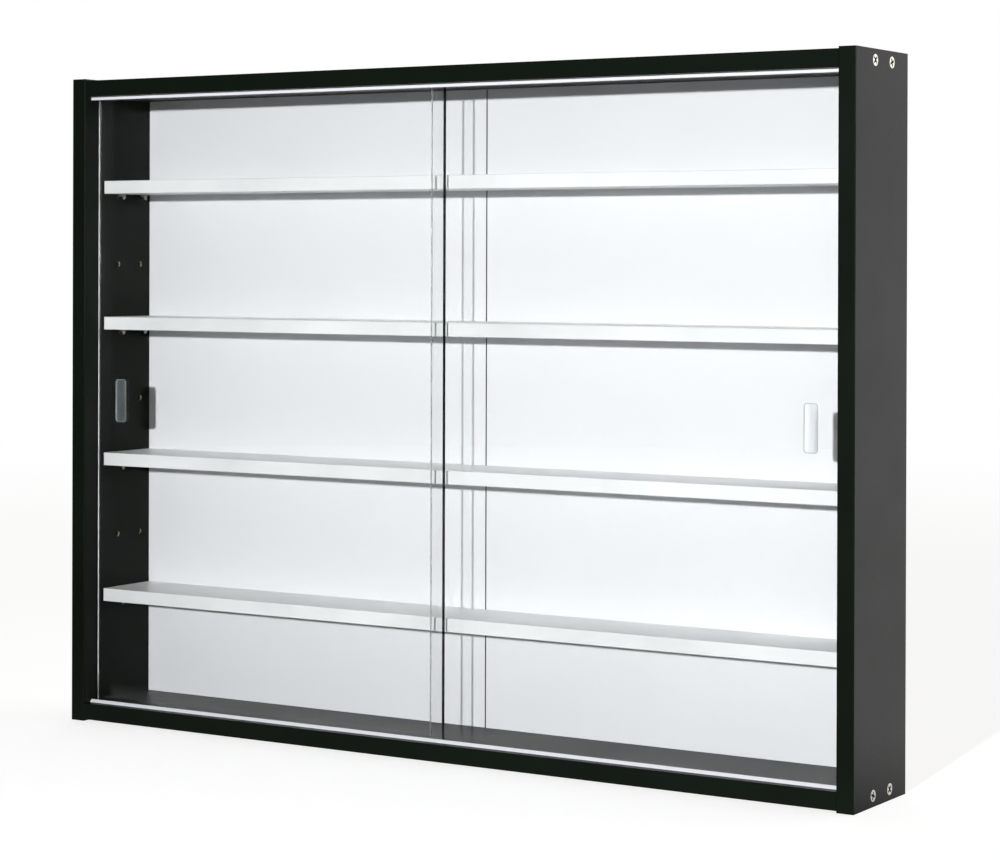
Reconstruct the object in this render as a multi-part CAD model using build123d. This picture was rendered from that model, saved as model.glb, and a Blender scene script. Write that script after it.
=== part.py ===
from build123d import *
import os

# Collector display case with two sliding glass panes.
# Millimetres. X is the width, Y the depth (front at -Y), Z up.
# The origin is under the middle of the case, on the surface it stands on.

# Carcass
case_width = 800.0
case_height = 600.0
case_depth = 100.0
panel_thickness = 15.0
side_proud = 1.5            # the sides stand proud of the top and bottom panels
band_radius = 0.6           # rounding of the banded front edges

# Back board: two hardboard halves in a rebate
back_thickness = 3.0
rebate_width = 7.0
rebate_depth = 4.0
back_fit = 0.5              # between the board's edge and the rebate
seam_gap = 0.3              # between the two halves
tape_width = 32.0
tape_thickness = 0.2

# Panel pins that hold the back board
nail_head_diameter = 3.6
nail_head_thickness = 0.7
nail_diameter = 1.5
nail_length = 18.0
nail_clearance = 0.05
nails_up_a_side = 6         # an even count, so that none meets a row of pin holes
nails_along_a_half = 3
nail_sides = 8
nail_head_sides = 12

# Double tracks for the glass, let into grooves level with the panels but for a nose in front
track_setback = 8.5         # case front to the track's nose
track_nose = 2.0            # nose in front of the groove's edge
top_nose_height = 3.0       # upright nose that hangs from the top panel
bottom_nose_height = 2.6    # bevelled nose that stands on the bottom panel
nose_round = 0.4
track_wall = 1.2            # wall beside a channel
track_rib = 2.0             # wall between the two channels
track_web = 1.0             # floor of a channel
track_fit = 0.1             # track to the groove's walls
track_end_gap = 0.25
bottom_channel_depth = 4.0
glass_lift_play = 1.0       # room above a pane that is lifted clear of the bottom track

# Glass panes
glass_thickness = 4.0
glass_side_clearance = 0.3  # each side of the glass in its channel
glass_overlap = 10.0        # where the closed panes pass each other
glass_end_gap = 0.5         # closed pane to the side panel
glass_top_hold = 3.0        # glass inside the top channels
glass_arris = 0.4

# Finger pulls ground into the panes
pull_width = 12.5
pull_height = 40.0
pull_depth = 1.6
pull_corner_radius = 2.8
pull_wheel_radius = 16.0
pull_inset = 28.0           # pane's outer edge to the pull's middle

# Shelves and the rows of pin holes
shelf_thickness = 12.0
shelf_setback = 28.5        # case front to the shelf's front edge
shelf_end_gap = 1.0
shelf_back_gap = 0.5
pin_diameter = 5.0
pin_length = 16.0
pin_reach = 7.5             # how far a pin stands out of the side panel
pin_chamfer = 0.6
pin_clearance = 0.05
pin_hole_extra = 1.0        # hole deeper than the pin's seat
pin_row_pitch = 64.0
pin_rows = 7
pin_row_drop = 1.0          # middle row below the case's mid-height
pin_setback = 50.0          # case front to the first column of holes
pin_column_pitch = 32.0
pin_sides = 24

# Countersunk screws through the sides
screw_setback = 37.0
screw_pitch = 32.0
screw_length = 50.0
screw_shank_diameter = 5.0
screw_head_diameter = 9.5
screw_point_length = 6.0
screw_side_clearance = 0.25
screw_end_clearance = 0.05
screw_sides = 20
recess_span = 6.0
recess_slot = 1.5
recess_depth = 2.2

# Sizes and places that follow from those above
inner_width = case_width - 2 * panel_thickness
inner_half = inner_width / 2
inner_bottom = side_proud + panel_thickness
inner_top = case_height - inner_bottom
front = -case_depth / 2
back = case_depth / 2
board_front = back - rebate_depth
board_back = board_front + back_thickness

channel_width = glass_thickness + 2 * glass_side_clearance
groove_front = front + track_setback + track_nose
front_channel = groove_front + track_wall
rear_channel = front_channel + channel_width + track_rib
groove_back = rear_channel + channel_width + track_wall
top_channel_depth = glass_top_hold + bottom_channel_depth + glass_lift_play

glass_width = (inner_width + glass_overlap) / 2 - glass_end_gap
glass_bottom = inner_bottom - bottom_channel_depth
glass_height = inner_top + glass_top_hold - glass_bottom

row_middle = case_height / 2 - pin_row_drop
row_heights = [row_middle + (row - (pin_rows - 1) / 2) * pin_row_pitch for row in range(pin_rows)]
side_nail_pitch = 1.5 * pin_row_pitch
column_places = [front + pin_setback, front + pin_setback + pin_column_pitch]
screw_places = [front + screw_setback, front + screw_setback + screw_pitch]
screw_heights = [side_proud + panel_thickness / 2, case_height - side_proud - panel_thickness / 2]
shelf_rows = {"bottom_shelf": 0, "lower_shelf": 2, "upper_shelf": 4, "top_shelf": 6}


def block(x_range, y_range, z_range):
    """A box between two values on each axis."""
    sizes = [high - low for low, high in (x_range, y_range, z_range)]
    middles = [(high + low) / 2 for low, high in (x_range, y_range, z_range)]
    return Pos(*middles) * Box(*sizes)


def drill(start, direction, diameter, length):
    """A round cut from a start point along a direction."""
    return extrude(Plane(origin=start, z_dir=direction) * Circle(diameter / 2), amount=length)


def flats(across, sides):
    """Outline with flat sides, which face along both axes when the count divides by four."""
    return RegularPolygon(across / 2, sides, major_radius=False, rotation=180 / sides)


def bar(start, direction, across, length, sides):
    """A straight bar or cut with flat sides from a start point along a direction."""
    return extrude(Plane(origin=start, z_dir=direction) * flats(across, sides), amount=length)


def band_edges(body, axis, at_front):
    """The long edges of a panel's banded front face."""
    return body.edges().filter_by(axis).filter_by_position(Axis.Y, at_front - 0.01, at_front + 0.01)


def screw_blank(grow):
    """Plain countersunk screw that points down from height 0, grown by a clearance."""
    head = screw_head_diameter + 2 * grow
    shank = screw_shank_diameter + 2 * grow
    tip = -screw_length - grow
    neck = (shank - head) / 2
    shoulder = tip + screw_point_length
    cone = loft([flats(head, screw_sides), Pos(0, 0, neck) * flats(shank, screw_sides)])
    core = bar((0, 0, neck), (0, 0, -1), shank, neck - shoulder, screw_sides)
    point = loft([Pos(0, 0, shoulder) * flats(shank, screw_sides), Vertex(0, 0, tip)])
    return cone + core + point


def screw_body():
    """One countersunk screw with a cross recess that comes to a point."""
    slot = Box(recess_span, recess_slot, 2 * recess_depth)
    cross = slot + Rot(0, 0, 90) * slot
    taper = loft([flats(recess_span, 4), Vertex(0, 0, -recess_depth)])
    return screw_blank(0) - (cross & taper)


def at_screws(side, shape):
    """The shape at each screw of one side, pointing into the case."""
    places = []
    for height in screw_heights:
        for depth in screw_places:
            seat = Plane(origin=(side * case_width / 2, depth, height), z_dir=(side, 0, 0), x_dir=(0, 1, 0))
            places.append(seat * shape)
    return places


def nail_points():
    """Where the panel pins go, with the panel that each one enters."""
    inset = rebate_width / 2
    points = []
    for side in (-1, 1):
        x = side * (inner_half + inset)
        for place in range(nails_up_a_side):
            z = row_middle + (place - (nails_up_a_side - 1) / 2) * side_nail_pitch
            points.append(("left" if side < 0 else "right", x, z))
        step = inner_half / nails_along_a_half
        for place in range(nails_along_a_half):
            x = side * (place + 0.5) * step
            points.append(("bottom", x, inner_bottom - inset))
            points.append(("top", x, inner_top + inset))
    return points


def nail_holes(panel):
    """Holes of the pins that enter one panel."""
    across = nail_diameter + 2 * nail_clearance
    depth = nail_length - back_thickness + 1
    return [
        bar((x, board_front, z), (0, -1, 0), across, depth, nail_sides)
        for name, x, z in nail_points()
        if name == panel
    ]


def side_panel():
    """Right side panel: rebate, shelf-pin holes and countersunk screw holes on an upright board.

    The spare pin holes are round. Those that hold a pin have its flat sides.
    """
    outer = case_width / 2
    panel = block((inner_half, outer), (front, back), (0, case_height))
    panel = fillet(band_edges(panel, Axis.Z, front), band_radius)
    rebate = block(
        (inner_half - 1, inner_half + rebate_width),
        (board_front, back + 1),
        (inner_bottom - rebate_width, inner_top + rebate_width),
    )
    hole_diameter = pin_diameter + 2 * pin_clearance
    hole_depth = pin_length - pin_reach + pin_hole_extra
    holes = []
    for row, height in enumerate(row_heights):
        for depth in column_places:
            mouth = (inner_half, depth, height)
            if row in shelf_rows.values():
                holes.append(bar(mouth, (1, 0, 0), hole_diameter, hole_depth, pin_sides))
            else:
                holes.append(drill(mouth, (1, 0, 0), hole_diameter, hole_depth))
    rim = bar((0, 0, 0), (0, 0, 1), screw_head_diameter + 2 * screw_side_clearance, 1, screw_sides)
    sink = screw_blank(screw_side_clearance) + rim
    return panel - [rebate] - holes - at_screws(1, sink) - nail_holes("right")


def level_panel(face, direction, channel_depth, name):
    """Top or bottom panel. Its inner face is at height face and looks along direction."""
    outside = face - direction * panel_thickness
    z_range = (min(face, outside), max(face, outside))
    panel = block((-inner_half, inner_half), (front, back), z_range)
    panel = fillet(band_edges(panel, Axis.X, front), band_radius)
    groove_floor = face - direction * (channel_depth + track_web)
    groove = block(
        (-inner_half - 1, inner_half + 1),
        (groove_front - track_fit, groove_back + track_fit),
        (min(groove_floor, face + direction), max(groove_floor, face + direction)),
    )
    rebate_floor = face - direction * rebate_width
    rebate = block(
        (-inner_half - 1, inner_half + 1),
        (board_front, back + 1),
        (min(rebate_floor, face + direction), max(rebate_floor, face + direction)),
    )
    depth = screw_length - panel_thickness + screw_end_clearance
    across = screw_shank_diameter + 2 * screw_end_clearance
    height = (face + outside) / 2
    holes = [
        bar((side * inner_half, place, height), (-side, 0, 0), across, depth, screw_sides)
        for side in (-1, 1)
        for place in screw_places
    ]
    return panel - [groove, rebate] - holes - nail_holes(name)


def track(face, direction, channel_depth, nose_height, bevel):
    """Double channel let into a panel, level with its face but for the nose in front."""
    floor = -channel_depth
    base = floor - track_web
    nose = groove_front - track_nose
    front_end = front_channel + channel_width
    rear_end = rear_channel + channel_width
    outline = [
        (nose, 0), (nose + bevel, nose_height), (front_channel, nose_height), (front_channel, floor),
        (front_end, floor), (front_end, 0), (rear_channel, 0), (rear_channel, floor),
        (rear_end, floor), (rear_end, 0), (groove_back, 0), (groove_back, base),
        (groove_front, base), (groove_front, 0),
    ]
    section = make_face(Polyline(*[(y, face + direction * z) for y, z in outline], close=True))
    nose_edge = face + direction * nose_height
    tips = section.vertices().filter_by_position(Axis.Y, nose_edge - 0.01, nose_edge + 0.01)
    section = fillet(tips, nose_round)
    length = inner_half - track_end_gap
    return extrude(Plane.YZ * section, amount=length, both=True)


def pane(side, channel):
    """Sliding glass pane with ground edges and a finger pull near its outer edge."""
    face = channel + glass_side_clearance
    outer = side * (inner_half - glass_end_gap)
    inner = outer - side * glass_width
    glass = block(
        sorted((inner, outer)),
        (face, face + glass_thickness),
        (glass_bottom, glass_bottom + glass_height),
    )
    glass = chamfer(glass.edges(), glass_arris)
    middle = (outer - side * pull_inset, face, glass_bottom + glass_height / 2)
    outline = RectangleRounded(pull_width, pull_height, pull_corner_radius)
    pocket = extrude(Plane(origin=middle, z_dir=(0, 1, 0)) * outline, amount=pull_depth + 1, both=True)
    wheel = Cylinder(pull_wheel_radius, 2 * pull_height)
    wheel = Pos(middle[0], face + pull_depth - pull_wheel_radius, middle[2]) * wheel
    return glass - (pocket & wheel)


def shelf(row):
    """Loose shelf that lies on its four pins."""
    bottom = row_heights[row] + pin_diameter / 2
    reach = inner_half - shelf_end_gap
    board = block(
        (-reach, reach),
        (front + shelf_setback, board_front - shelf_back_gap),
        (bottom, bottom + shelf_thickness),
    )
    return fillet(band_edges(board, Axis.X, front + shelf_setback), band_radius)


def shelf_pins(row):
    """Four plain steel pins under one shelf, each with a flat side up and its free end chamfered."""
    pins = []
    for side in (-1, 1):
        for depth in column_places:
            tip = side * (inner_half - pin_reach)
            pin = bar((tip, depth, row_heights[row]), (side, 0, 0), pin_diameter, pin_length, pin_sides)
            free_end = pin.faces().filter_by(Axis.X).sort_by(Axis.X)[0 if side > 0 else -1]
            pins.append(chamfer(free_end.edges(), pin_chamfer))
    return Compound(pins)


def back_half(side):
    """One half of the hardboard back, from the middle seam to the rebate."""
    outer = side * (inner_half + rebate_width - back_fit)
    inner = side * seam_gap / 2
    board = block(
        sorted((inner, outer)),
        (board_front, board_back),
        (inner_bottom - rebate_width + back_fit, inner_top + rebate_width - back_fit),
    )
    across = nail_diameter + 2 * nail_clearance
    holes = [
        bar((x, board_front - 1, z), (0, 1, 0), across, back_thickness + 2, nail_sides)
        for _, x, z in nail_points()
        if x * side > 0
    ]
    return board - holes


def back_tape():
    """Fabric tape that joins the two halves on the rear."""
    low = inner_bottom - rebate_width + back_fit
    high = inner_top + rebate_width - back_fit
    return block((-tape_width / 2, tape_width / 2), (board_back, board_back + tape_thickness), (low, high))


def back_nails():
    """Panel pins through the back board into the carcass."""
    nails = []
    for _, x, z in nail_points():
        shank = bar((x, board_back, z), (0, -1, 0), nail_diameter, nail_length, nail_sides)
        head = bar((x, board_back, z), (0, 1, 0), nail_head_diameter, nail_head_thickness, nail_head_sides)
        nails.append(shank + head)
    return Compound([solid for nail in nails for solid in nail.solids()])


def build():
    """Every node by name."""
    right_side = side_panel()
    parts = {
        "right_side_panel": right_side,
        "left_side_panel": mirror(right_side, about=Plane.YZ),
        "top_panel": level_panel(inner_top, -1, top_channel_depth, "top"),
        "bottom_panel": level_panel(inner_bottom, 1, bottom_channel_depth, "bottom"),
        "back_board_left": back_half(-1),
        "back_board_right": back_half(1),
        "back_board_tape": back_tape(),
        "back_board_nails": back_nails(),
        "top_track": track(inner_top, -1, top_channel_depth, top_nose_height, 0),
        "bottom_track": track(inner_bottom, 1, bottom_channel_depth, bottom_nose_height, track_nose),
        "left_glass_pane": pane(-1, rear_channel),
        "right_glass_pane": pane(1, front_channel),
    }
    screw = screw_body()
    for name, side in (("left_side_screws", -1), ("right_side_screws", 1)):
        screws = at_screws(side, screw)
        parts[name] = Compound([solid for body in screws for solid in body.solids()])
    for name, row in shelf_rows.items():
        parts[name] = shelf(row)
        parts[name + "_pins"] = shelf_pins(row)
    return parts


os.makedirs("parts", exist_ok=True)
for node, shape in build().items():
    export_step(shape, f"parts/{node}.step")
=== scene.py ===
import math

import bmesh
import bpy
from mathutils import Matrix, Vector


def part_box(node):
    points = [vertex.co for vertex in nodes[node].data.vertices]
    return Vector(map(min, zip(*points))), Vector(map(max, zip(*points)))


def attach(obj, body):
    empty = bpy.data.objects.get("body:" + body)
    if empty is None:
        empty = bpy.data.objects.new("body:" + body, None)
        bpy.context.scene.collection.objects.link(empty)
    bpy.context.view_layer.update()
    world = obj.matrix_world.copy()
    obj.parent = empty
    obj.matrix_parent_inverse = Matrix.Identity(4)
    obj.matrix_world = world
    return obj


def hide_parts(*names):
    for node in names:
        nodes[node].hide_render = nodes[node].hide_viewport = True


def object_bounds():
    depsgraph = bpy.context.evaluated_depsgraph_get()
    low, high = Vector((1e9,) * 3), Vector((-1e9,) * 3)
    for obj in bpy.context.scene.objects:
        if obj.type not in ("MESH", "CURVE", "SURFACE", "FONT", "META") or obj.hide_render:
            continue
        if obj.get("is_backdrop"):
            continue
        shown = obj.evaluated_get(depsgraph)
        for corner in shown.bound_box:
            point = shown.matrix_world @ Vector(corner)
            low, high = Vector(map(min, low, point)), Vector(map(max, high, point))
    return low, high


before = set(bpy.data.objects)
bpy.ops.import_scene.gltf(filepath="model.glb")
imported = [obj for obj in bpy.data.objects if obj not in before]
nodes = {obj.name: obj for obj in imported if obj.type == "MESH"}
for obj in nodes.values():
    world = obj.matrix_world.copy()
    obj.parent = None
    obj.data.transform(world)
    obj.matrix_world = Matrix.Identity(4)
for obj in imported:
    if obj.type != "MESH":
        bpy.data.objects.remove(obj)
cad_low, cad_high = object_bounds()

# Carcass boards: 15 mm chipboard faced with a black melamine foil.
# The front edges are banded with the same foil, and the saw and the drill bare
# the pale chips in the pin holes, the grooves and the rebate for the back.


def shade(code):
    """An sRGB hex code as a linear colour."""
    parts = [int(code[i:i + 2], 16) / 255 for i in (0, 2, 4)]
    return (*[p / 12.92 if p <= 0.04045 else ((p + 0.055) / 1.055) ** 2.4 for p in parts], 1)


def add_node(tree, kind, inputs=None, **settings):
    """Adds a shader node with its settings, and sets or links its inputs.

    An input goes by its place, or by its name among those that the settings open.
    It is linked where its value is an output, or a node, whose first open output
    is taken.
    """
    node = tree.nodes.new("ShaderNode" + kind)
    for name, value in settings.items():
        setattr(node, name, value)
    for key, value in (inputs or {}).items():
        if isinstance(key, str):
            key = next(k for k, each in enumerate(node.inputs) if each.enabled and each.name == key)
        if isinstance(value, bpy.types.Node):
            value = next(output for output in value.outputs if output.enabled)
        if isinstance(value, bpy.types.NodeSocket):
            tree.links.new(value, node.inputs[key])
        else:
            node.inputs[key].default_value = value
    return node


def start_material(name):
    """An empty material, with its tree and the place on the piece in metres."""
    material = bpy.data.materials.new(name)
    material.use_nodes = True
    tree = material.node_tree
    tree.nodes.clear()
    return material, tree, add_node(tree, "TexCoord").outputs["Object"]


def inside_boxes(tree, place, boxes):
    """1 where the place is inside any of the boxes, and 0 elsewhere."""
    total = None
    for low, high in boxes:
        middle = [(a + b) / 2 for a, b in zip(low, high)]
        half = [(b - a) / 2 for a, b in zip(low, high)]
        moved = add_node(tree, "VectorMath", {0: place, 1: middle}, operation="SUBTRACT")
        away = add_node(tree, "VectorMath", {0: moved}, operation="ABSOLUTE")
        share = add_node(tree, "VectorMath", {0: away, 1: half}, operation="DIVIDE")
        axes = add_node(tree, "SeparateXYZ", {"Vector": share}).outputs
        widest = add_node(tree, "Math", {0: axes["X"], 1: axes["Y"]}, operation="MAXIMUM")
        widest = add_node(tree, "Math", {0: widest, 1: axes["Z"]}, operation="MAXIMUM")
        within = add_node(tree, "Math", {0: widest, 1: 1.0}, operation="LESS_THAN")
        if total is not None:
            within = add_node(tree, "Math", {0: total, 1: within}, operation="MAXIMUM")
        total = within
    return total


inner_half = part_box("right_side_panel")[0].x    # from the middle to a side panel's inner face
hole_lit_to, hole_dark_from = 0.0004, 0.0018    # depths in a pin hole


def chip_layer(tree, place):
    """Sawn chipboard. Gives a colour and a height.

    Flat chips 2.2 mm long in three browns look like pale crumbs. A pin hole gets painted
    shade, darker with depth past the side panel's face, so that only a thin crescent shows.
    """
    chip_length, chip_flatness = 0.0022, 2.2
    flat = (1.0, 1.0, chip_flatness)
    squashed = add_node(tree, "VectorMath", {0: place, 1: flat}, operation="MULTIPLY")
    chips = add_node(tree, "TexVoronoi", {"Vector": squashed, "Scale": 1 / chip_length})
    which = add_node(tree, "SeparateColor", {"Color": chips.outputs["Color"]})
    browns = add_node(tree, "ValToRGB", {"Fac": which})
    browns.color_ramp.elements[0].color = shade("71634b")
    browns.color_ramp.elements[1].color = shade("d9d1b8")
    browns.color_ramp.elements.new(0.55).color = shade("b1a488")
    axes = add_node(tree, "SeparateXYZ", {"Vector": place}).outputs
    outward = add_node(tree, "Math", {0: axes["X"]}, operation="ABSOLUTE")
    # Painted shade: the chips in a pin hole darken with depth.
    painted_hole_shade = add_node(tree, "MapRange", {
        "Value": outward, "From Min": inner_half + hole_lit_to, "From Max": inner_half + hole_dark_from,
        "To Min": 1.0, "To Max": 0.08,
    })
    colour = add_node(tree, "VectorMath", {0: browns, "Scale": painted_hole_shade}, operation="SCALE")
    return colour, chips.outputs["Distance"]


def faced_board(name, foil, roughness, gloss_level, cores):
    """Melamine foil over chipboard, which shows inside the cores.

    The foil is pressed with a pearl grain, which spreads its gloss to a satin. The
    grain is about 0.3 mm wide, drawn at 1.5 mm so that it shows. Clouds of 90 mm
    keep a wide face from looking quite even.
    """
    grain_width, cloud_width, unevenness = 0.0015, 0.09, 0.03
    material, tree, place = start_material(name)
    grain = add_node(tree, "TexNoise", {"Vector": place, "Scale": 1 / grain_width, "Detail": 2.0})
    cloud = add_node(tree, "TexNoise", {"Vector": place, "Scale": 1 / cloud_width, "Detail": 3.0})
    tint = add_node(tree, "MapRange", {
        "Value": cloud, "From Min": 0.3, "From Max": 0.7, "To Min": 0.92, "To Max": 1.08,
    })
    colour = add_node(tree, "VectorMath", {0: foil[:3], "Scale": tint}, operation="SCALE")
    satin = add_node(tree, "MapRange", {
        "Value": cloud, "From Min": 0.3, "From Max": 0.7,
        "To Min": roughness - unevenness, "To Max": roughness + unevenness,
    })
    chips, depth = chip_layer(tree, place)
    bare = inside_boxes(tree, place, cores)
    seen = add_node(tree, "Mix", {"Factor": bare, "A": colour, "B": chips}, data_type="RGBA")
    rough = add_node(tree, "Mix", {"Factor": bare, "A": satin, "B": 0.9})
    foil_bump = add_node(tree, "Bump", {"Strength": 0.5, "Distance": 0.0002, "Height": grain})
    chip_bump = add_node(tree, "Bump", {"Strength": 0.6, "Distance": 0.0003, "Height": depth})
    bump = add_node(tree, "Mix", {"Factor": bare, "A": foil_bump, "B": chip_bump}, data_type="VECTOR")
    board = add_node(tree, "BsdfPrincipled", {
        "Base Color": seen, "Roughness": rough, "IOR": 1.5, "Specular IOR Level": gloss_level,
        "Normal": bump,
    })
    add_node(tree, "OutputMaterial", {"Surface": board})
    return material


foil_thickness, band_thickness = 0.00025, 0.0008
under_band = Vector((foil_thickness, band_thickness, foil_thickness))
under_foil = Vector((foil_thickness, foil_thickness, foil_thickness))
carcass_boards = ("left_side_panel", "right_side_panel", "top_panel", "bottom_panel")
carcass_cores = []
for name in carcass_boards:
    low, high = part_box(name)
    carcass_cores.append((low + under_band, high - under_foil))
# Black with a trace of green. Its gloss is weak, and mirrors the white inside only faintly.
black_melamine = faced_board("black_melamine_foil", shade("0f150f"), 0.35, 0.06, carcass_cores)
for name in carcass_boards:
    nodes[name].material_slots[0].material = black_melamine

# Glass tracks: pale polystyrene, extruded in one length with two channels.
# Each is pushed into a groove until it is level with the panel. Only its front
# nose stands proud, and hides the front edge of the groove.

# Milky and half glossy. The die draws fine streaks, 33 mm long and 0.56 mm apart.
streak_length, streak_slimness = 1 / 30, 60.0
track_plastic, tree, place = start_material("extruded_polystyrene")
slim = (1.0, streak_slimness, streak_slimness)
drawn = add_node(tree, "VectorMath", {0: place, 1: slim}, operation="MULTIPLY")
die_lines = add_node(tree, "TexNoise", {"Vector": drawn, "Scale": 1 / streak_length, "Detail": 3.0})
milky = add_node(tree, "Mix", {
    "Factor": die_lines, "A": shade("dedee4"), "B": shade("e6e6eb"),
}, data_type="RGBA")
line_bump = add_node(tree, "Bump", {"Strength": 0.15, "Distance": 0.0001, "Height": die_lines})
plastic = add_node(tree, "BsdfPrincipled", {
    "Base Color": milky, "Roughness": 0.32, "IOR": 1.55, "Normal": line_bump,
})
add_node(tree, "OutputMaterial", {"Surface": plastic})
for name in ("top_track", "bottom_track"):
    nodes[name].material_slots[0].material = track_plastic

# Back board: two halves of 3 mm hardboard that meet at a middle seam.
# The front is lacquered white, and the rear keeps the brown face with the
# print of the wire mesh that it was pressed on.

hardboard, tree, place = start_material("lacquered_hardboard")
lacquer_depth, seam_half = 0.0003, 0.0006
board_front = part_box("back_board_left")[0].y
axes = add_node(tree, "SeparateXYZ", {"Vector": place}).outputs
rear = add_node(tree, "Math", {0: axes["Y"], 1: board_front + lacquer_depth}, operation="GREATER_THAN")
from_seam = add_node(tree, "Math", {0: axes["X"]}, operation="ABSOLUTE")
seam_shadow_band = add_node(tree, "Math", {0: from_seam, 1: seam_half}, operation="LESS_THAN")

# The lacquer is a smooth cool white, with a faint orange peel 4 mm wide.
peel_width, haze_width = 0.004, 0.12
peel = add_node(tree, "TexNoise", {"Vector": place, "Scale": 1 / peel_width, "Detail": 2.0})
haze = add_node(tree, "TexNoise", {"Vector": place, "Scale": 1 / haze_width, "Detail": 3.0})
lacquer = add_node(tree, "Mix", {
    "Factor": haze, "A": shade("e1e1e3"), "B": shade("e6e6e8"),
}, data_type="RGBA")

# The rear is dull brown fibre. The mesh left a dimple every 1.8 mm.
mesh_pitch, fibre_length = 0.0018, 0.003
prints = []
for axis in ("X", "Z"):
    angle = add_node(tree, "Math", {0: axes[axis], 1: 2 * math.pi / mesh_pitch}, operation="MULTIPLY")
    prints.append(add_node(tree, "Math", {0: angle}, operation="SINE"))
mesh_print = add_node(tree, "Math", {0: prints[0], 1: prints[1]}, operation="MULTIPLY")
fibre = add_node(tree, "TexNoise", {"Vector": place, "Scale": 1 / fibre_length, "Detail": 4.0})
brown = add_node(tree, "Mix", {
    "Factor": fibre, "A": shade("5f4430"), "B": shade("93714f"),
}, data_type="RGBA")

# The cut edges at the seam are bare, and the gap between them is painted near black as its shadow: one
# dark line.
face = add_node(tree, "Mix", {"Factor": seam_shadow_band, "A": lacquer, "B": shade("0c0a08")}, data_type="RGBA")
face = add_node(tree, "Mix", {"Factor": rear, "A": face, "B": brown}, data_type="RGBA")
matt = add_node(tree, "Mix", {"Factor": rear, "A": 0.3, "B": 0.85})
front_bump = add_node(tree, "Bump", {"Strength": 0.05, "Distance": 0.0002, "Height": peel})
rear_bump = add_node(tree, "Bump", {"Strength": 0.5, "Distance": 0.0002, "Height": mesh_print})
bump = add_node(tree, "Mix", {"Factor": rear, "A": front_bump, "B": rear_bump}, data_type="VECTOR")
board = add_node(tree, "BsdfPrincipled", {
    "Base Color": face, "Roughness": matt, "IOR": 1.5, "Normal": bump,
})
add_node(tree, "OutputMaterial", {"Surface": board})
for name in ("back_board_left", "back_board_right"):
    nodes[name].material_slots[0].material = hardboard

# Seam tape: woven cotton tape, glued over the seam on the rear.
# It keeps the two halves in line while they are pinned.

# Raw cotton is pale and quite dull, with a little sheen from its fluff. The
# threads are about 0.5 mm apart, drawn at 1 mm so that they show.
thread = 0.001
seam_tape, tree, place = start_material("woven_cotton_tape")
axes = add_node(tree, "SeparateXYZ", {"Vector": place}).outputs
waves = []
for axis in ("X", "Z"):
    angle = add_node(tree, "Math", {0: axes[axis], 1: math.pi / thread}, operation="MULTIPLY")
    waves.append(add_node(tree, "Math", {0: angle}, operation="SINE"))
weave = add_node(tree, "Math", {0: waves[0], 1: waves[1]}, operation="MULTIPLY")
crossing = add_node(tree, "Math", {0: weave, 1: 0.5, 2: 0.5}, operation="MULTIPLY_ADD")
cotton = add_node(tree, "Mix", {
    "Factor": crossing, "A": shade("a79a80"), "B": shade("cbc0a6"),
}, data_type="RGBA")
weave_bump = add_node(tree, "Bump", {"Strength": 0.5, "Distance": 0.0002, "Height": weave})
cloth = add_node(tree, "BsdfPrincipled", {
    "Base Color": cotton, "Roughness": 0.92, "Sheen Weight": 0.2, "Normal": weave_bump,
})
add_node(tree, "OutputMaterial", {"Surface": cloth})
nodes["back_board_tape"].material_slots[0].material = seam_tape

# Panel pins: bright steel wire nails, driven through the back board into the
# rebate all round. Each head is a thin disc, slightly domed by the hammer.


def turned_steel(name, tone, patches, roughness):
    """Steel in two tones.

    Patches of 2 mm break up its mirror. The marks of the tool are finer than
    0.1 mm, drawn at 0.3 mm so that they show.
    """
    mark_pitch, patch_width = 0.0003, 0.002
    material, tree, place = start_material(name)
    marks = add_node(tree, "TexNoise", {"Vector": place, "Scale": 1 / mark_pitch, "Detail": 2.0})
    spots = add_node(tree, "TexNoise", {"Vector": place, "Scale": 1 / patch_width, "Detail": 3.0})
    where = add_node(tree, "MapRange", {"Value": spots, "From Min": 0.48, "From Max": 0.66})
    colour = add_node(tree, "Mix", {"Factor": where, "A": tone, "B": patches}, data_type="RGBA")
    rough = add_node(tree, "MapRange", {
        "Value": spots, "From Min": 0.3, "From Max": 0.7,
        "To Min": roughness * 0.8, "To Max": roughness * 1.2,
    })
    bump = add_node(tree, "Bump", {"Strength": 0.1, "Distance": 0.00005, "Height": marks})
    steel = add_node(tree, "BsdfPrincipled", {
        "Base Color": colour, "Metallic": 1.0, "Roughness": rough, "Normal": bump,
    })
    add_node(tree, "OutputMaterial", {"Surface": steel})
    return material


def ring(mesh, to_place, radius, height, sides):
    """Adds the corners of a round at a height, or one point where the radius is 0."""
    angles = [2 * math.pi * k / sides for k in range(sides if radius else 1)]
    return [
        mesh.verts.new(to_place @ Vector((radius * math.cos(a), radius * math.sin(a), height)))
        for a in angles
    ]


def wrap(mesh, one, two):
    """Adds the faces from one ring or point to the next, and gives them in order."""
    faces = []
    for k in range(max(len(one), len(two))):
        corners = [
            one[k % len(one)], one[(k + 1) % len(one)], two[(k + 1) % len(two)], two[k % len(two)],
        ]
        faces.append(mesh.faces.new(list(dict.fromkeys(corners))))
    return faces


def turn(mesh, profile, sides, to_place):
    """Adds a turned body to a mesh. The profile is (radius, height) from end to end."""
    rings = [ring(mesh, to_place, radius, height, sides) for radius, height in profile]
    for one, two in zip(rings, rings[1:]):
        for face in wrap(mesh, one, two):
            face.smooth = True


crisp_corner = math.radians(20)


def make_piece(name, mesh, body, slot, *materials):
    """Turns a finished mesh into a piece that rides on a body."""
    bmesh.ops.recalc_face_normals(mesh, faces=mesh.faces)
    data = bpy.data.meshes.new(name)
    mesh.to_mesh(data)
    mesh.free()
    data.set_sharp_from_angle(angle=crisp_corner)
    piece = bpy.data.objects.new(name, data)
    bpy.context.scene.collection.objects.link(piece)
    for material in materials:
        data.materials.append(material)
    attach(piece, body)
    return piece


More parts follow.
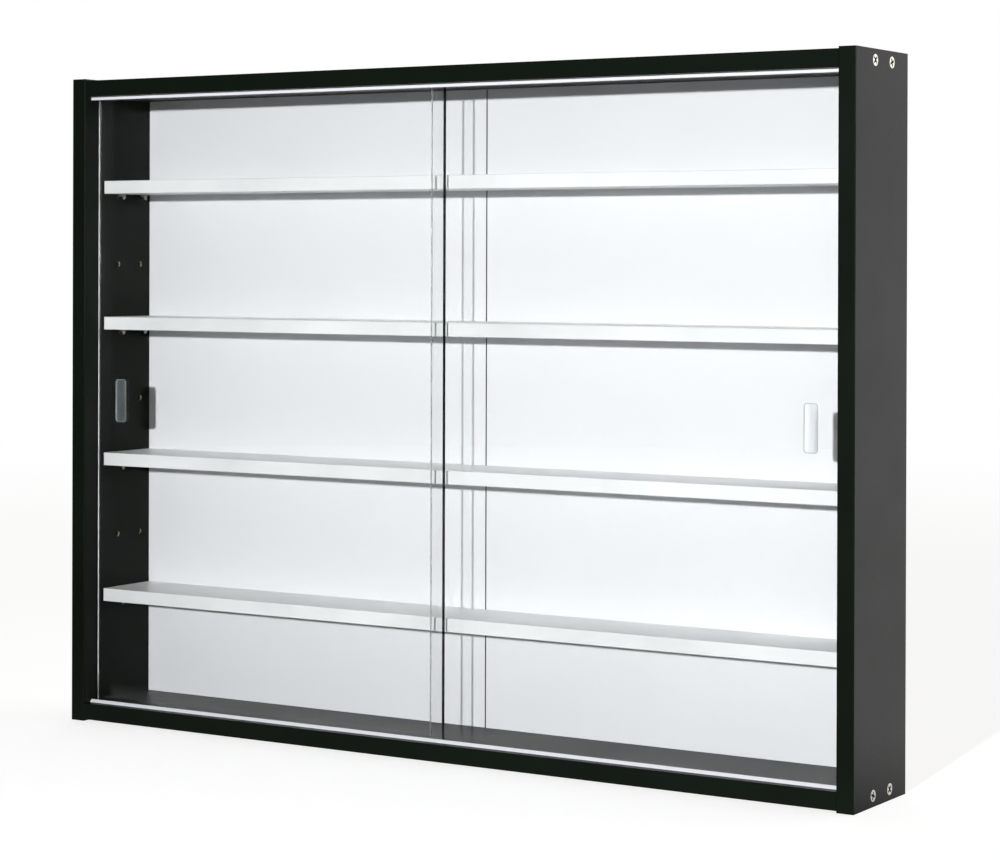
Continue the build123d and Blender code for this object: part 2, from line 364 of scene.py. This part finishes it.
def facing(point, direction):
    """A transform that puts height along a direction from a point."""
    turn_to = Vector(direction).to_track_quat("Z", "Y").to_matrix().to_4x4()
    return Matrix.Translation(point) @ turn_to


# Uncoated drawn wire is grey with a dull shine.
bright_steel = turned_steel("bright_nail_steel", shade("aeaca7"), shade("8c8984"), 0.34)
head_radius, head_thickness, wire_radius, nail_length, nail_point = 0.0018, 0.0007, 0.00075, 0.018, 0.002
nail_profile = [
    (0, head_thickness), (head_radius * 0.6, 0.00062), (head_radius * 0.93, 0.0004),
    (head_radius, 0.00018), (head_radius, 0),
    (wire_radius, 0), (wire_radius, nail_point - nail_length), (0, -nail_length),
]
nails_up_a_side, side_pitch, side_middle, nails_along_a_half = 6, 0.096, 0.299, 3
nail_low, nail_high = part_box("back_board_nails")
side_line = nail_high.x - head_radius
level_lines = (nail_low.z + head_radius, nail_high.z - head_radius)
nail_places = [
    (side * side_line, side_middle + (k - (nails_up_a_side - 1) / 2) * side_pitch)
    for side in (-1, 1) for k in range(nails_up_a_side)
]
nail_places += [
    (side * (k + 0.5) * inner_half / nails_along_a_half, z)
    for side in (-1, 1) for k in range(nails_along_a_half) for z in level_lines
]
mesh = bmesh.new()
for x, z in nail_places:
    turn(mesh, nail_profile, 24, facing((x, nail_high.y - head_thickness, z), (0, 1, 0)))
nails = make_piece("back_board_wire_nails", mesh, "carcass", "nail_steel", bright_steel)
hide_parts("back_board_nails")

# Carcass screws: zinc-plated countersunk chipboard screws with a cross recess.
# Two go through each side into each end of the top and bottom panels.

head, shank, screw_length, screw_point, head_sides = 0.00475, 0.0025, 0.05, 0.006, 40
recess_span, recess_slot, recess_depth = 0.0068, 0.0018, 0.0024
bed_span, bed_slot = 0.62, 0.7  # the recess at its bed, as shares of its mouth
recess_shade_slot = 1               # material slot


def screw_head(mesh, to_place):
    """Adds a countersunk head with a tapered cross recess, its face at height 0."""
    rim = ring(mesh, to_place, head, 0, head_sides)
    levels = []
    for span_share, slot_share, height in ((1.0, 1.0, 0), (bed_span, bed_slot, -recess_depth)):
        reach, half = recess_span / 2 * span_share, recess_slot / 2 * slot_share
        arm = [(reach, -half), (reach, half), (half, half)]
        corners = []
        for cos, sin in ((1, 0), (0, 1), (-1, 0), (0, -1)):
            corners += [(x * cos - y * sin, x * sin + y * cos) for x, y in arm]
        levels.append([mesh.verts.new(to_place @ Vector((x, y, height))) for x, y in corners])
    mouth, bed = levels
    edges = [
        mesh.edges.new((loop[k], loop[(k + 1) % len(loop)]))
        for loop in (rim, mouth) for k in range(len(loop))
    ]
    bmesh.ops.triangle_fill(mesh, edges=edges, use_beauty=True)
    # The recess faces take the zinc with painted shade.
    for face in [*wrap(mesh, mouth, bed), mesh.faces.new(bed)]:
        face.material_index = recess_shade_slot
    neck = ring(mesh, to_place, shank, shank - head, head_sides)
    for face in wrap(mesh, rim, neck):
        face.smooth = True


# Zinc plate is bright, with yellowish patches. Down in the recess it is dull, and painted dark as the
# shade there.
zinc = turned_steel("zinc_plated_steel", shade("c4c4c1"), shade("b8a87c"), 0.2)
recess_shade_zinc = turned_steel("zinc_painted_dark_in_the_recess", shade("3a3a38"), shade("1e1d1b"), 0.5)
shaft = [(shank, shank - head), (shank, screw_point - screw_length), (0, -screw_length)]
stops = (70, 45, 40, 22)        # degrees that each screw had turned when it stopped
for side, outward in (("left", -1), ("right", 1)):
    low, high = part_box(f"{side}_side_screws")
    places = [(y, z) for y in (low.y + head, high.y - head) for z in (low.z + head, high.z - head)]
    mesh = bmesh.new()
    for stop, (y, z) in zip(stops, places):
        turned = Matrix.Rotation(math.radians(stop), 4, "Z")
        to_place = facing((outward * cad_high.x, y, z), (outward, 0, 0)) @ turned
        screw_head(mesh, to_place)
        turn(mesh, shaft, 24, to_place)
    screws = make_piece(f"{side}_countersunk_screws", mesh, "carcass", "zinc", zinc, recess_shade_zinc)
    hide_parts(f"{side}_side_screws")

# Shelves: 12 mm chipboard faced with white melamine, banded in front.
# They lie loose on four pins each, and the rear edge is left as sawn.

shelves = ("bottom_shelf", "lower_shelf", "upper_shelf", "top_shelf")
bare_rear = Vector((-foil_thickness, foil_thickness, -foil_thickness))
shelf_cores = []
for name in shelves:
    low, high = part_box(name)
    shelf_cores.append((low + under_band, high + bare_rear))
# Plain white with the full gloss of melamine, which the grain softens.
white_melamine = faced_board("white_melamine_foil", shade("ebecec"), 0.34, 0.5, shelf_cores)
for name in shelves:
    nodes[name].material_slots[0].material = white_melamine

# Shelf pins: plain 5 mm steel pins, cut from rod, nickel-plated and chamfered.
# Half of each sits in a drilled hole of the side panel.

# Nickel plate is bright, and a little warmer than zinc.
nickel = turned_steel("nickel_plated_steel", shade("c6c1b6"), shade("aaa59a"), 0.24)
pin_radius, pin_length, chamfer = 0.0025, 0.016, 0.0006
pin_profile = [
    (0, 0), (pin_radius - chamfer, 0), (pin_radius, chamfer),
    (pin_radius, pin_length - chamfer), (pin_radius - chamfer, pin_length), (0, pin_length),
]
for name in shelves:
    low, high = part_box(f"{name}_pins")
    mesh = bmesh.new()
    for side in (-1, 1):
        for y in (low.y + pin_radius, high.y - pin_radius):
            tip = (side * (high.x - pin_length), y, (low.z + high.z) / 2)
            turn(mesh, pin_profile, 40, facing(tip, (side, 0, 0)))
    pins = make_piece(f"{name}_round_pins", mesh, "carcass", "nickel", nickel)
    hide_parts(f"{name}_pins")

# Glass panes: 4 mm clear float glass with ground edges, in two channels.
# A finger pull is ground into the face of each with a wheel, near its outer edge.


def glass(name, body, roughness, through_lamps, bloom, bloom_tone):
    """Soda-lime glass of IOR 1.52. A ground surface scatters the bloom's share of light in its tone.

    Lamp light, and light that has scattered once already, pass straight through in
    the tone of through_lamps. Otherwise the lamp would be counted twice, and the
    shadows washed out. The grit leaves pits of about 0.1 mm, drawn at 0.6 mm so
    that they show.
    """
    pit_width = 0.0006
    material, tree, place = start_material(name)
    pits = add_node(tree, "TexNoise", {"Vector": place, "Scale": 1 / pit_width, "Detail": 2.0})
    seen = clear = add_node(tree, "BsdfPrincipled", {
        "Base Color": body, "Roughness": roughness, "IOR": 1.52, "Transmission Weight": 1.0,
    })
    if bloom:
        bump = add_node(tree, "Bump", {"Strength": 0.3, "Distance": 0.0001, "Height": pits})
        tree.links.new(bump.outputs["Normal"], clear.inputs["Normal"])
        scatter = add_node(tree, "BsdfDiffuse", {"Color": bloom_tone})
        seen = add_node(tree, "MixShader", {0: bloom, 1: clear, 2: scatter})
    path = add_node(tree, "LightPath").outputs
    passed = add_node(tree, "BsdfTransparent", {"Color": through_lamps})
    pane = add_node(tree, "MixShader", {0: path["Is Shadow Ray"], 1: seen, 2: passed})
    pane = add_node(tree, "MixShader", {0: path["Is Diffuse Ray"], 1: pane, 2: passed})
    add_node(tree, "OutputMaterial", {"Surface": pane})
    return material


# Clear, with hardly a tint, and a faint mirror over what stands behind it.
float_glass = glass("clear_float_glass", shade("fefefe"), 0.0, shade("fcfdfd"), 0, None)
# A ground edge is frosted, and painted almost black for the dark that it mirrors inside the glass. It
# throws a thin dark shadow.
edge_painted_dark = glass("ground_glass_edge", shade("3a4a44"), 0.25, shade("121414"), 0.75, shade("101513"))
# An edge that faces left is painted with the light of the white inside, as a pale grey-green.
edge_painted_lit = glass(
    "ground_glass_edge_painted_lit", shade("71877e"), 0.25, shade("121414"), 0.08, shade("98a5a1"),
)
# The wheel leaves a frosted rim, which glows on black and is grey on white.
ground_rim = glass("ground_glass_rim", shade("5f6664"), 0.3, shade("2c302e"), 0.3, shade("d4e3e4"))
# The bed of the pull is a pale blue-grey haze, with a soft grey shadow.
ground_pull = glass("ground_glass_pull", shade("e8ebef"), 0.4, shade("2c302e"), 0.085, shade("c9dde0"))
pane_finishes = (float_glass, edge_painted_dark, ground_rim, ground_pull, edge_painted_lit)
shade_painted_edge_slot, rim_finish, pull_finish, light_painted_edge_slot = 1, 2, 3, 4

arris = 0.0004
first_left_face = 5             # among the faces of the edge, as the outline counts them
pull_width, pull_height, pull_depth, pull_corner, wheel = 0.0125, 0.040, 0.0016, 0.0028, 0.016
pull_from_edge, pull_rim, rim_drop, pull_steps = 0.028, 0.0006, 0.0003, 24


def pane_outline(low, high, inset):
    """Rectangle with small cut corners, as (x, z) points, from the lower left and anticlockwise."""
    x0, x1, z0, z1 = low.x + inset, high.x - inset, low.z + inset, high.z - inset
    return [
        (x0 + arris, z0), (x1 - arris, z0), (x1, z0 + arris), (x1, z1 - arris),
        (x1 - arris, z1), (x0 + arris, z1), (x0, z1 - arris), (x0, z0 + arris),
    ]


def pull_outline(inset):
    """Half heights of the pull across its width, as (x, half height) pairs."""
    half = pull_width / 2 - inset
    corner = pull_corner - inset
    straight = half - corner
    pairs = []
    for step in range(pull_steps + 1):
        x = -half * math.cos(math.pi * step / pull_steps)
        past = max(0, abs(x) - straight)
        rounding = math.sqrt(max(0, corner ** 2 - past ** 2))
        pairs.append((x, pull_height / 2 - inset - corner + rounding))
    return pairs


def wheel_cut(x):
    """Depth that the wheel reaches at a distance from the middle of the pull."""
    return pull_depth - wheel + math.sqrt(wheel ** 2 - min(abs(x), pull_width / 2) ** 2)


for side, body, outer in (("left", "left_pane", -1), ("right", "right_pane", 1)):
    low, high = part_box(f"{side}_glass_pane")
    mesh = bmesh.new()

    # The edge all round and the rear face
    loops = []
    for y, inset in ((low.y, arris), (low.y + arris, 0), (high.y - arris, 0), (high.y, arris)):
        loops.append([mesh.verts.new((x, y, z)) for x, z in pane_outline(low, high, inset)])
    # The edge faces that face left get the copy with painted light, and the others the copy with painted
    # shade.
    for one, two in zip(loops, loops[1:]):
        for k, face in enumerate(wrap(mesh, one, two)):
            face.material_index = light_painted_edge_slot if k >= first_left_face else shade_painted_edge_slot
    mesh.faces.new(loops[-1])

    # The pull, from its outline over the ground rim down to its hollow bed
    middle_x = (high.x if outer > 0 else low.x) - outer * pull_from_edge
    middle_z = (low.z + high.z) / 2
    rings = []
    for inset, drop in ((0, 0.0), (pull_rim, rim_drop), (pull_rim, None)):
        corners = []
        for half in (-1, 1):
            pairs = pull_outline(inset)
            for x, height in pairs if half < 0 else reversed(pairs):
                depth = wheel_cut(x) if drop is None else drop
                corners.append(mesh.verts.new((middle_x + x, low.y + depth, middle_z + half * height)))
        rings.append(corners)
    for one, two in zip(rings, rings[1:]):
        for face in wrap(mesh, one, two):
            face.material_index = rim_finish
    bed = rings[-1]
    for k in range(pull_steps):
        strip = mesh.faces.new([bed[k], bed[k + 1], bed[-2 - k], bed[-1 - k]])
        strip.material_index = pull_finish

    # The front face, around the pull
    edges = [
        mesh.edges.get((loop[k], loop[(k + 1) % len(loop)]))
        for loop in (loops[0], rings[0]) for k in range(len(loop))
    ]
    bmesh.ops.triangle_fill(mesh, edges=edges, use_beauty=True)
    pane = make_piece(f"{side}_sliding_pane", mesh, body, "glass", *pane_finishes)
    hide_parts(f"{side}_glass_pane")

# Camera: level, to the right of the case and a little above its middle.
# The shift keeps the upright edges parallel, as they are in the photograph.

camera_place = (1.274987, -1.963684, 0.431953)
focal_pixels, frame_width = 2678.6, 1000
yaw, pitch, roll = math.radians(32.127), math.radians(-0.212), math.radians(0.162)
forward = Vector((-math.sin(yaw) * math.cos(pitch), math.cos(yaw) * math.cos(pitch), math.sin(pitch)))
level_right = Vector((math.cos(yaw), math.sin(yaw), 0))
level_up = level_right.cross(forward)
right = math.cos(roll) * level_right + math.sin(roll) * level_up
up = math.cos(roll) * level_up - math.sin(roll) * level_right
lens = bpy.data.cameras.new("camera")
lens.sensor_width = 36.0
lens.lens = focal_pixels * lens.sensor_width / frame_width
lens.shift_y = -0.16
camera = bpy.data.objects.new("camera", lens)
camera_turn = Matrix((right, up, -forward)).transposed().to_4x4()
camera.matrix_world = Matrix.Translation(camera_place) @ camera_turn
bpy.context.scene.collection.objects.link(camera)
bpy.context.scene.camera = camera

# Light: one studio lamp above and behind the camera, and a pale room.
# The room is bright behind the case and dim in front of it, both in mirrors and
# as a light, so that the black foil and the panes keep their depth.

lamp = bpy.data.lights.new("key_lamp", "SPOT")
lamp.shadow_soft_size = 0.055
lamp.spot_size = math.radians(52)
lamp.spot_blend = 1.0
lamp.energy = 716.0
lamp.color = (0.975, 0.99, 1.0)
lamp_place, lamp_aim = Vector((0.93, -3.78, 0.84)), Vector((0.46, 0, 0.5))
key = bpy.data.objects.new("key_lamp", lamp)
key.matrix_world = facing(lamp_place, lamp_place - lamp_aim)
bpy.context.scene.collection.objects.link(key)

world = bpy.data.worlds.new("pale_room")
bpy.context.scene.world = world
world.use_nodes = True
tree = world.node_tree
tree.nodes.clear()


def in_view(tree):
    """Two switches, each 1 or 0.

    The first is 1 on paths that show the scene, straight to the camera or by way of
    mirrors and glass, and 0 on those that light it. The second is 1 past a mirror.
    """
    path = add_node(tree, "LightPath").outputs
    straight = add_node(tree, "Math", {
        0: path["Is Camera Ray"], 1: path["Is Transmission Ray"],
    }, operation="MAXIMUM")
    any_way = add_node(tree, "Math", {0: straight, 1: path["Is Glossy Ray"]}, operation="MAXIMUM")
    unscattered = add_node(tree, "Math", {0: path["Diffuse Depth"], 1: 0.5}, operation="LESS_THAN")
    seen = add_node(tree, "Math", {0: any_way, 1: unscattered}, operation="MULTIPLY")
    mirrored = add_node(tree, "Math", {0: path["Glossy Depth"], 1: 0.5}, operation="GREATER_THAN")
    return seen, mirrored


white = (1, 1, 1, 1)
seen, mirrored = in_view(tree)
way = add_node(tree, "TexCoord").outputs["Generated"]
axes = add_node(tree, "SeparateXYZ", {"Vector": way}).outputs
room = add_node(tree, "MapRange", {
    "Value": axes["Y"], "From Min": -0.35, "From Max": 0.35, "To Min": 0.01, "To Max": 1.92,
}, interpolation_type="SMOOTHSTEP")
brightness = add_node(tree, "Mix", {"Factor": mirrored, "A": 1.0, "B": room})
rearwards = add_node(tree, "MapRange", {"Value": axes["Y"], "From Min": -0.1, "From Max": 0.4})
warm_fill = add_node(tree, "Background", {"Color": (1.0, 0.84, 0.58, 1), "Strength": 0.06})
rear_fill = add_node(tree, "Background", {"Color": white, "Strength": 0.9})
fill = add_node(tree, "MixShader", {0: rearwards, 1: warm_fill, 2: rear_fill})
white_room = add_node(tree, "Background", {"Color": white, "Strength": brightness})
sky = add_node(tree, "MixShader", {0: seen, 1: fill, 2: white_room})
add_node(tree, "OutputWorld", {"Surface": sky})

# Floor: a plain white sheet. It shows as the white of the background, less the
# shadow of the case, and far away it is that white alone. In mirrors it is
# bright only behind the case, as the room is.

floor_reach = 30.0
own_glow = 0.73                 # near the case the lamp on the paper gives the rest of the white
mesh = bmesh.new()
bmesh.ops.create_circle(mesh, cap_ends=True, segments=96, radius=floor_reach)
sheet = bpy.data.meshes.new("studio_floor")
mesh.to_mesh(sheet)
mesh.free()
floor = bpy.data.objects.new("studio_floor", sheet)
bpy.context.scene.collection.objects.link(floor)
white_sheet, tree, place = start_material("white_studio_sheet")
seen, mirrored = in_view(tree)
distance = add_node(tree, "VectorMath", {0: place}, operation="LENGTH")
far = add_node(tree, "MapRange", {
    "Value": distance, "From Min": 1.0, "From Max": 4.0, "To Min": 0.0, "To Max": 1.0,
}, interpolation_type="SMOOTHSTEP")
axes = add_node(tree, "SeparateXYZ", {"Vector": place}).outputs
behind = add_node(tree, "MapRange", {
    "Value": axes["Y"], "From Min": -0.2, "From Max": 0.3, "To Min": 0.0, "To Max": 2.05,
})
shown = add_node(tree, "Mix", {"Factor": mirrored, "A": 1.0, "B": behind})
paper_tone = add_node(tree, "Mix", {
    "Factor": shown, "A": shade("1c1c1c"), "B": shade("bababa"),
}, data_type="RGBA")
paper = add_node(tree, "BsdfDiffuse", {"Color": paper_tone})
glow = add_node(tree, "Math", {0: seen, 1: shown}, operation="MULTIPLY")
lift = add_node(tree, "Math", {0: glow, 1: own_glow}, operation="MULTIPLY")
near_glow = add_node(tree, "Emission", {"Color": white, "Strength": lift})
near = add_node(tree, "AddShader", {0: paper, 1: near_glow})
far_glow = add_node(tree, "Emission", {"Color": white, "Strength": glow})
far_share = add_node(tree, "Math", {0: far, 1: seen}, operation="MULTIPLY")
sheet_shader = add_node(tree, "MixShader", {0: far_share, 1: near, 2: far_glow})
add_node(tree, "OutputMaterial", {"Surface": sheet_shader})
sheet.materials.append(white_sheet)
floor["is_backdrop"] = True

bpy.context.scene.view_settings.view_transform = "Standard"

low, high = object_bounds()
